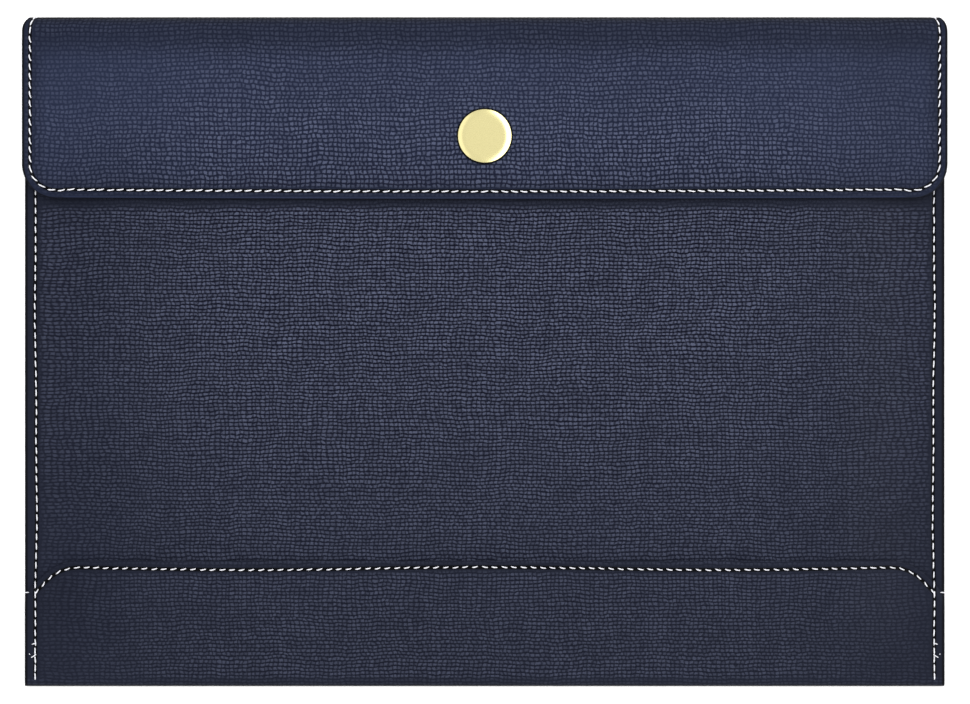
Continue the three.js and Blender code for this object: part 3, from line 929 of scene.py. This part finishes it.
def make_side_thread(name, sign, material):
    """The side seam on the front, sewn closer over its lowest stretch, and on the back."""
    front = side_seam_line(sign, BACKSTITCH_TOP, SIDE_SEAM_HIGH)
    backstitch = side_seam_line(sign, SIDE_SEAM_LOW, BACKSTITCH_TOP)
    back = side_seam_line(sign, SIDE_SEAM_LOW, FOLD_LINE - 1)
    made = sew(front, side_height, pitch=3.45, fill=0.74, slant=0.06)
    made += sew(backstitch, side_height, pitch=3.15, fill=0.92, slant=0.05)
    made += sew(back, level_back, pitch=3.5, fill=0.78, slant=0.05, sign=0.0)
    share = np.linspace(0, 1, THREAD_END_RINGS)
    for path in THREAD_ENDS:
        spots = np.array(path) * (sign, 1, 1)
        given = np.linspace(0, 1, len(spots))
        fine = np.column_stack([np.interp(share, given, axis) for axis in spots.T])
        made.append(tube(fine, np.linspace(*THREAD_END_RADII, THREAD_END_RINGS), STITCH_SIDES))
    return tubes_object(name, made, material)


# Press stud: each piece is a profile of [radius, height] pairs turned about the stud's axis


def turned(name, profile, z, material, steps=72):
    profile = np.asarray(profile, float)
    angles = np.linspace(0, 2 * math.pi, steps, endpoint=False)
    x = np.outer(np.cos(angles), profile[:, 0])
    y = np.outer(np.sin(angles), profile[:, 0]) + SNAP_Y
    height = np.broadcast_to(profile[:, 1] + z, x.shape)
    vertices = np.stack([x, y, height], axis=2).reshape(-1, 3)
    count = len(profile)
    faces = []
    for i in range(steps):
        k = (i + 1) % steps
        for j in range(count - 1):
            faces.append([i * count + j, k * count + j, k * count + j + 1, i * count + j + 1])
    obj = mesh_object(name, vertices, faces, [material], [0] * len(faces), {})
    work = bmesh.new()
    work.from_mesh(obj.data)
    bmesh.ops.remove_doubles(work, verts=work.verts, dist=1e-7)
    work.to_mesh(obj.data)
    work.free()
    return obj


CAP_TOP = 2.0
CAP_FLAT_RADIUS = 6.7
CAP_SLOPE_RADIUS = 9.45
CAP_SLOPE_DROP = 0.78
CAP_SLOPE_POWER = 2.3


def make_cap(material):
    shank = [[0, -1.6], [1.9, -1.6], [2.0, -1.5], [2.0, 0], [8.9, 0], [9.25, 0.03]]
    wall = [[9.45, 0.1], [9.55, 0.25], [9.6, 0.5], [9.6, 0.98], [9.58, 1.08], [9.53, 1.17]]
    slope = []
    for radius in np.linspace(CAP_SLOPE_RADIUS, CAP_FLAT_RADIUS, 16):
        share = (radius - CAP_FLAT_RADIUS) / (CAP_SLOPE_RADIUS - CAP_FLAT_RADIUS)
        slope.append([radius, CAP_TOP - CAP_SLOPE_DROP * share**CAP_SLOPE_POWER])
    crown = [[radius, CAP_TOP] for radius in (5.0, 3.0, 1.5, 0)]
    return turned("snap_cap_metal", shank + wall + slope + crown, FLAP_FACE, material, steps=96)


def make_socket(material):
    cavity = [[0, -0.4], [2.7, -0.4], [2.85, -0.5], [2.85, -1.45], [3.2, -1.8], [3.4, -1.8]]
    ring = [[3.8, -1.62], [4.4, -1.62], [4.8, -1.8], [5.6, -1.8], [5.85, -1.72], [6.0, -1.45]]
    seat = [[6.0, -0.1], [5.9, 0], [0, 0]]
    return turned("snap_socket_metal", cavity + ring + seat, FLAP_SEAT, material)


def make_stud(material):
    flange = [[0, 0], [5.4, 0], [5.5, 0.1], [5.5, 0.3], [5.35, 0.48], [5.1, 0.5], [4.2, 0.42], [3.4, 0.42]]
    neck = [[2.6, 0.5], [2.2, 0.6], [2.1, 0.85], [2.3, 1.1]]
    head = [[2.5, 1.25], [2.5, 1.5], [2.3, 1.75], [1.9, 1.88], [1.4, 1.9], [0, 1.86]]
    return turned("snap_stud_metal", flange + neck + head, FRONT_FACE, material)


def make_post(material):
    flange = [[0, -0.6], [4.6, -0.6], [4.9, -0.5], [5.0, -0.3], [5.0, -0.1], [4.9, 0]]
    shank = [[1.8, 0], [1.8, 1.6], [0, 1.6]]
    return turned("snap_post_metal", flange + shank, FRONT_FACE - SHEET, material)


# Materials


class Nodes:
    """Short names for building a node tree."""

    def __init__(self, name):
        self.material = bpy.data.materials.new(name)
        self.material.use_nodes = True
        self.tree = self.material.node_tree
        self.shader = self.tree.nodes["Principled BSDF"]

    def add(self, kind, inputs=(), **settings):
        node = self.tree.nodes.new(kind)
        for key, value in settings.items():
            setattr(node, key, value)
        for key, value in dict(inputs).items():
            self.link(value, node.inputs[key])
        return node

    def link(self, value, socket):
        if isinstance(value, bpy.types.NodeSocket):
            self.tree.links.new(value, socket)
        else:
            socket.default_value = value

    def math(self, operation, a, b=0.0, clamp=False):
        return self.add("ShaderNodeMath", {0: a, 1: b}, operation=operation, use_clamp=clamp).outputs[0]

    def stretch(self, vector, factors):
        inputs = {0: vector, 1: factors}
        return self.add("ShaderNodeVectorMath", inputs, operation="MULTIPLY").outputs[0]

    def attribute(self, name, output="Fac"):
        return self.add("ShaderNodeAttribute", attribute_name=name).outputs[output]

    def object_space(self):
        return self.add("ShaderNodeTexCoord").outputs["Object"]

    def noise(self, vector, scale, detail=2.0, roughness=0.5, output="Fac"):
        settings = {"Vector": vector, "Scale": scale, "Detail": detail, "Roughness": roughness}
        return self.add("ShaderNodeTexNoise", settings).outputs[output]

    def ramp(self, value, start, end, low=0.0, high=1.0, kind="SMOOTHSTEP"):
        inputs = {"Value": value, "From Min": start, "From Max": end, "To Min": low, "To Max": high}
        return self.add("ShaderNodeMapRange", inputs, interpolation_type=kind).outputs["Result"]

    def mix(self, factor, a, b, blend="MIX"):
        node = self.add("ShaderNodeMix", data_type="RGBA", blend_type=blend)
        self.link(factor, node.inputs[0])
        self.link(a, node.inputs[6])
        self.link(b, node.inputs[7])
        return node.outputs[2]

    def grey(self, value):
        return self.add("ShaderNodeCombineColor", {0: value, 1: value, 2: value}).outputs[0]

    def bump(self, height, distance, strength=1.0, under=None):
        inputs = {"Height": height, "Distance": distance, "Strength": strength}
        node = self.add("ShaderNodeBump", inputs)
        if under is not None:
            self.link(under, node.inputs["Normal"])
        return node.outputs["Normal"]

    def set(self, **values):
        for key, value in values.items():
            self.link(value, self.shader.inputs[key.replace("_", " ")])
        return self.material


# The values that noise mostly lies between
NOISE_SPAN = (0.3, 0.7)

# Leather colours: the valleys of the grain, its pillows, and leather that is pressed plain
VALLEY_FLAP = (0.0014, 0.0022, 0.0085, 1)
VALLEY_FRONT = (0.0007, 0.001, 0.0062, 1)
PLAIN_FLAP = (0.0086, 0.0117, 0.0255, 1)
PLAIN_FRONT = (0.0076, 0.0094, 0.018, 1)
PILLOW_FLAP = (0.0545, 0.063, 0.103, 1)
PILLOW_FRONT = (0.0635, 0.0725, 0.1155, 1)
PAINT = (0.002, 0.0022, 0.004, 1)
WORN_PAINT = (0.012, 0.012, 0.018, 1)
FLESH_DARK = (0.022, 0.026, 0.045, 1)
FLESH_LIGHT = (0.05, 0.056, 0.085, 1)
FLESH_NAP = (0.03, 0.034, 0.055, 1)

# Grain: cells in mm, waves in cells, and how far from a boundary, in cells, a pillow starts and stands full
CELL_WIDTH = 1.62
ROW_HEIGHT = 1.36
ROW_BROAD_WAVES = 2.6
ROW_LOCAL_WAVES = 0.9
ROW_RANDOMNESS = 0.16
ROW_FOOT = 0.07
ROW_TOP = 0.32
ROW_SHIFT = 0.5
CELL_BROAD_WAVES = 3.0
CELL_LOCAL_WAVES = 1.2
CELL_RANDOMNESS = 0.32
CELL_FOOT = 0.06
CELL_TOP = 0.3
RAGGEDNESS = 0.38
BRIDGE_FRONT = 0.24
BRIDGE_LOSS_ON_FLAP = 0.16


def row_of_cells(n, place, randomness):
    """One row of cells of about unit length along place.

    Gives the distance to the nearest boundary, and a random number a cell.
    """
    settings = {"W": place, "Scale": 1.0, "Randomness": randomness}
    edge = n.add("ShaderNodeTexVoronoi", settings, voronoi_dimensions="1D", feature="DISTANCE_TO_EDGE")
    cell = n.add("ShaderNodeTexVoronoi", settings, voronoi_dimensions="1D", feature="F1")
    number = n.add("ShaderNodeSeparateColor", {"Color": cell.outputs["Color"]}).outputs[0]
    return edge.outputs["Distance"], number


def leather_grain(n, lay, hue):
    """Small pillows in wavy rows, some bridged along their row.

    Gives how high the leather stands, and a tone that differs from pillow to pillow.
    """
    axes = n.add("ShaderNodeSeparateXYZ", {"Vector": lay})
    broad = n.add("ShaderNodeSeparateColor", {"Color": n.noise(lay, scale=0.035, output="Color")})
    local = n.add("ShaderNodeSeparateColor", {"Color": n.noise(lay, scale=0.26, output="Color")})

    def warped(axis, size, channel, broad_waves, local_waves):
        here = n.math("DIVIDE", axes.outputs[axis], size)
        here = n.math("ADD", here, n.math("MULTIPLY", broad.outputs[channel], broad_waves))
        return n.math("ADD", here, n.math("MULTIPLY", local.outputs[channel], local_waves))

    row_place = warped(1, ROW_HEIGHT, 1, ROW_BROAD_WAVES, ROW_LOCAL_WAVES)
    row_edge, row_number = row_of_cells(n, row_place, ROW_RANDOMNESS)
    along_row = warped(0, CELL_WIDTH, 0, CELL_BROAD_WAVES, CELL_LOCAL_WAVES)
    cell_place = n.math("ADD", along_row, n.math("MULTIPLY", row_number, ROW_SHIFT))
    cell_edge, cell_number = row_of_cells(n, cell_place, CELL_RANDOMNESS)
    uneven = n.math("SUBTRACT", n.noise(lay, scale=1.3, detail=1), 0.5)
    ragged = n.math("MULTIPLY", uneven, RAGGEDNESS)
    row_top = n.ramp(n.math("ADD", row_edge, ragged), ROW_FOOT, ROW_TOP)
    cell_top = n.ramp(n.math("ADD", cell_edge, ragged), CELL_FOOT, CELL_TOP)
    bridge = n.math("SUBTRACT", BRIDGE_FRONT, n.math("MULTIPLY", hue, BRIDGE_LOSS_ON_FLAP))
    bridged = n.math("ADD", bridge, n.math("MULTIPLY", n.math("SUBTRACT", 1.0, bridge), cell_top))
    pillow = n.math("MULTIPLY", row_top, bridged)
    both = n.add("ShaderNodeCombineXYZ", {0: cell_number, 1: row_number}).outputs[0]
    chance = n.add("ShaderNodeTexWhiteNoise", {"Vector": both}, noise_dimensions="2D").outputs["Value"]
    tone = n.ramp(chance, 0.0, 1.0, low=0.62, high=1.14, kind="LINEAR")
    return pillow, tone


def leather_material():
    n = Nodes("grained_leather")
    lay = n.attribute("lay", "Vector")
    hue = n.attribute("hue")
    pillow, tone = leather_grain(n, lay, hue)
    patches = n.ramp(n.noise(lay, scale=0.09, detail=3, roughness=0.55), *NOISE_SPAN, low=0.84, high=1.07)
    depth = n.math("MULTIPLY", n.attribute("grain"), patches, clamp=True)
    valley_color = n.mix(hue, VALLEY_FRONT, VALLEY_FLAP)
    pillow_color = n.mix(hue, PILLOW_FRONT, PILLOW_FLAP)
    relief = n.mix(n.math("MULTIPLY", pillow, tone, clamp=True), valley_color, pillow_color)
    cloud = n.ramp(n.noise(lay, scale=0.02), *NOISE_SPAN, low=0.92, high=1.08)
    plain = n.mix(1.0, n.mix(hue, PLAIN_FRONT, PLAIN_FLAP), n.grey(cloud), "MULTIPLY")
    color = n.mix(depth, plain, relief)
    # Painted shade darkens the grooves along the seams and a ring round the snap's cap; the shade attribute
    # adds each point's painted light and shade
    seam = n.ramp(n.attribute("seam"), 0.45, 0.95, low=0.06, high=1.0)
    shaded = n.math("MULTIPLY", seam, n.attribute("shade"))
    color = n.mix(1.0, color, n.grey(shaded), "MULTIPLY")
    # The dark rim: edge paint, and where it is widened onto the face, painted shade along the outline
    painted = n.ramp(n.attribute("edge"), 0.08, 0.5)
    color = n.mix(painted, PAINT, color)
    pores = n.noise(lay, scale=6.0, detail=2, roughness=0.6)
    fine = n.bump(pores, distance=0.00003, strength=0.5)
    height = n.math("MULTIPLY", pillow, depth)
    normal = n.bump(height, distance=0.0002, strength=0.9, under=fine)
    rough = n.ramp(pillow, 0, 1, low=0.66, high=0.5)
    return n.set(Base_Color=color, Roughness=rough, Normal=normal, Specular_IOR_Level=0.05)


def flesh_material():
    n = Nodes("leather_flesh_side")
    lay = n.attribute("lay", "Vector")
    fibre = n.noise(lay, scale=1.8, detail=5, roughness=0.7)
    nap = n.noise(lay, scale=0.16, detail=3, roughness=0.6)
    color = n.mix(n.ramp(fibre, *NOISE_SPAN), FLESH_DARK, FLESH_LIGHT)
    color = n.mix(n.ramp(nap, 0.35, 0.65, high=0.35), color, FLESH_NAP)
    normal = n.bump(fibre, distance=0.00012, strength=0.7)
    return n.set(Base_Color=color, Roughness=0.92, Normal=normal, Specular_IOR_Level=0.15)


def edge_material():
    n = Nodes("painted_edge")
    lay = n.attribute("lay", "Vector")
    uneven = n.noise(lay, scale=0.9, detail=3, roughness=0.6)
    color = n.mix(uneven, PAINT, WORN_PAINT)
    rough = n.ramp(uneven, *NOISE_SPAN, low=0.35, high=0.55)
    normal = n.bump(uneven, distance=0.00008, strength=0.6)
    return n.set(Base_Color=color, Roughness=rough, Normal=normal)


THREAD_DARK = (0.62, 0.62, 0.67, 1)
THREAD_LIGHT = (0.82, 0.82, 0.86, 1)
THREAD_CLOUD = (0.6, 0.6, 0.66, 1)
BRASS_DARK = (0.745, 0.67, 0.334, 1)
BRASS_LIGHT = (0.755, 0.68, 0.341, 1)


def thread_material():
    n = Nodes("sewing_thread")
    here = n.object_space()
    fibre = n.noise(here, scale=2600.0, detail=2, roughness=0.6)
    cloud = n.noise(here, scale=90.0, detail=1)
    color = n.mix(n.ramp(fibre, *NOISE_SPAN), THREAD_DARK, THREAD_LIGHT)
    color = n.mix(n.ramp(cloud, 0.35, 0.65, high=0.3), color, THREAD_CLOUD)
    normal = n.bump(fibre, distance=0.00004, strength=0.6)
    return n.set(Base_Color=color, Roughness=0.6, Normal=normal, Specular_IOR_Level=0.3)


def brass_material():
    n = Nodes("pale_brass")
    here = n.object_space()
    haze = n.noise(here, scale=700.0, detail=3, roughness=0.6)
    brush = n.noise(n.stretch(here, (400.0, 5000.0, 400.0)), scale=1.0)
    color = n.mix(n.ramp(haze, *NOISE_SPAN), BRASS_DARK, BRASS_LIGHT)
    rough = n.ramp(brush, *NOISE_SPAN, low=0.26, high=0.285)
    normal = n.bump(brush, distance=0.000002, strength=0.15)
    return n.set(Base_Color=color, Metallic=1.0, Roughness=rough, Normal=normal)


leather = leather_material()
sheet_materials = [leather, flesh_material(), edge_material()]
thread = thread_material()
brass = brass_material()

POUCH, FLAP = "pouch", "flap"

flap_leather = make_flap(sheet_materials)
fold_leather = make_fold(sheet_materials)
front_leather = make_front(sheet_materials)
back_leather = make_back(sheet_materials)

pieces = [
    (flap_leather, FLAP, "leather", "flap"),
    (front_leather, POUCH, "leather", "front_panel"),
    (back_leather, POUCH, "leather", "back_panel"),
    (make_flap_thread(thread), FLAP, "thread", "flap_stitching"),
    (make_band_thread(thread), POUCH, "thread", "band_stitching"),
    (make_side_thread("left_side_thread", -1, thread), POUCH, "thread", "left_side_stitching"),
    (make_side_thread("right_side_thread", 1, thread), POUCH, "thread", "right_side_stitching"),
    (make_cap(brass), FLAP, "snap_metal", "snap_cap"),
    (make_socket(brass), FLAP, "snap_metal", "snap_socket"),
    (make_stud(brass), POUCH, "snap_metal", "snap_stud"),
    (make_post(brass), POUCH, "snap_metal", "snap_post"),
]
for piece, body, slot, node in pieces:
    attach(piece, body)
    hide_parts(node)

fold_thread = make_fold_thread(thread)
for piece, slot in ((fold_leather, "leather"), (fold_thread, "thread")):
    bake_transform(piece)
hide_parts("top_fold")


# Stage, in metres: pale floor, soft light, camera straight above
FLOOR_HALF_SIZE = 6.0
FLOOR_DARK = (0.90, 0.90, 0.90, 1)
FLOOR_LIGHT = (0.92, 0.92, 0.92, 1)
WHITE = (1, 1, 1, 1)
LENS = 500.0
SENSOR_WIDTH = 36.0
VIEW_WIDTH = 0.3479
VIEW_PLANE = 0.006
VIEW_MIDDLE = (0.0001, -0.0001)


def floor_material():
    n = Nodes("pale_floor")
    speck = n.noise(n.object_space(), scale=40.0, detail=3)
    color = n.mix(n.ramp(speck, *NOISE_SPAN), FLOOR_DARK, FLOOR_LIGHT)
    n.set(Base_Color=color, Roughness=0.9, Specular_IOR_Level=0.1)
    return n.set(Emission_Color=WHITE, Emission_Strength=0.35)


def add_floor():
    size = FLOOR_HALF_SIZE
    corners = [(-size, -size, 0), (size, -size, 0), (size, size, 0), (-size, size, 0)]
    mesh = bpy.data.meshes.new("floor")
    mesh.from_pydata(corners, [], [(0, 1, 2, 3)])
    mesh.materials.append(floor_material())
    floor = bpy.data.objects.new("floor", mesh)
    bpy.context.scene.collection.objects.link(floor)
    return floor


def add_area(name, place, aim, size, energy):
    light = bpy.data.lights.new(name, "AREA")
    light.shape = "RECTANGLE"
    light.size, light.size_y = size
    light.energy = energy
    obj = bpy.data.objects.new(name, light)
    bpy.context.scene.collection.objects.link(obj)
    obj.location = place
    obj.rotation_euler = (Vector(aim) - Vector(place)).to_track_quat("-Z", "Y").to_euler()
    return obj


def add_camera():
    data = bpy.data.cameras.new("camera")
    data.lens = LENS
    data.sensor_width = SENSOR_WIDTH
    data.clip_end = 20
    camera = bpy.data.objects.new("camera", data)
    bpy.context.scene.collection.objects.link(camera)
    camera.location = (*VIEW_MIDDLE, VIEW_PLANE + VIEW_WIDTH * LENS / SENSOR_WIDTH)
    bpy.context.scene.camera = camera


def set_world():
    world = bpy.data.worlds.new("studio")
    world.use_nodes = True
    background = world.node_tree.nodes["Background"]
    background.inputs["Color"].default_value = WHITE
    background.inputs["Strength"].default_value = 1.0
    bpy.context.scene.world = world


floor = add_floor()
set_world()
key = add_area("key_light", place=(0.0, 0.35, 1.4), aim=(0, 0, 0), size=(1.1, 0.8), energy=15)
key.visible_glossy = False
gloss = [
    add_area("gloss_right", place=(0.45, -0.15, 0.6), aim=(0, -0.15, 0.6), size=(3.6, 1.2), energy=34),
    add_area("gloss_left", place=(-0.6, 0.1, 0.5), aim=(0, 0.1, 0.5), size=(1.6, 1.0), energy=2.2),
]
for light in gloss:
    light.visible_diffuse = False
add_camera()

bpy.context.scene.view_settings.view_transform = "Standard"
